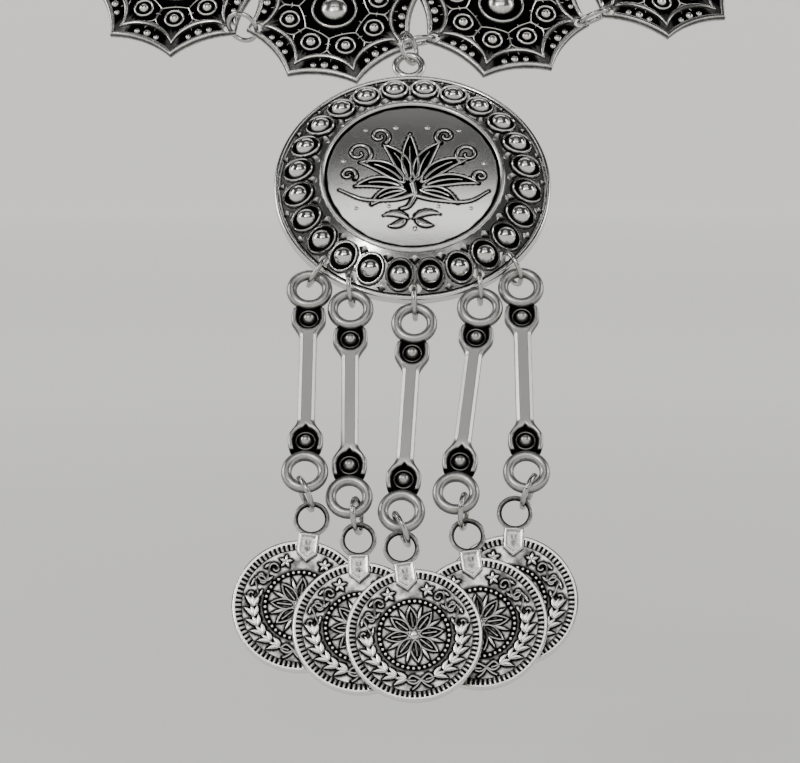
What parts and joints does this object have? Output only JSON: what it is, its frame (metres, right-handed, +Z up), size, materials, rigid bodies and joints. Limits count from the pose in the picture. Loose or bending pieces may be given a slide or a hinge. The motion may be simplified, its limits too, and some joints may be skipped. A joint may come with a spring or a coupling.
{
  "type": "necklace",
  "caption": "Worn statement necklace: collar of cast star plates, domed round medallion with ringed bosses, and coin drops on bar links, antique silver.",
  "frame": {"origin": "centre of the arc on which the plates lie, inside the neck's opening, with the necklace as it is worn", "axes": "+Z up, -Y forward from the wearer, +X to the right as seen from in front"},
  "size_m": [0.1989, 0.2058, 0.2089],
  "materials": {
    "antique_cast": "antique silver plate over cast zinc alloy, blackened in the hollows",
    "silver_wire": "bright antique silver plate on round wire"
  },
  "bodies": {
    "root": {"plate_1": "antique_cast", "plate_2": "antique_cast", "plate_3": "antique_cast", "plate_4": "antique_cast", "plate_5": "antique_cast", "plate_6": "antique_cast", "plate_7": "antique_cast", "plate_8": "antique_cast", "medallion": "antique_cast", "drop_bar_1": "antique_cast", "drop_bar_2": "antique_cast", "drop_bar_3": "antique_cast", "drop_bar_4": "antique_cast", "drop_bar_5": "antique_cast", "coin_1": "antique_cast", "coin_2": "antique_cast", "coin_3": "antique_cast", "coin_4": "antique_cast", "coin_5": "antique_cast", "joint_ring_1": "silver_wire", "joint_ring_2": "silver_wire", "joint_ring_3": "silver_wire", "joint_ring_4": "silver_wire", "joint_ring_5": "silver_wire", "joint_ring_6": "silver_wire", "joint_ring_7": "silver_wire", "end_ring_left": "silver_wire", "end_ring_right": "silver_wire", "pendant_ring": "silver_wire", "drop_ring_top_1": "silver_wire", "drop_ring_low_1": "silver_wire", "drop_ring_top_2": "silver_wire", "drop_ring_low_2": "silver_wire", "drop_ring_top_3": "silver_wire", "drop_ring_low_3": "silver_wire", "drop_ring_top_4": "silver_wire", "drop_ring_low_4": "silver_wire", "drop_ring_top_5": "silver_wire", "drop_ring_low_5": "silver_wire", "clasp_ring": "silver_wire", "chain_left": "silver_wire", "chain_right": "silver_wire", "clasp": "silver_wire"}
  },
  "joints": []
}
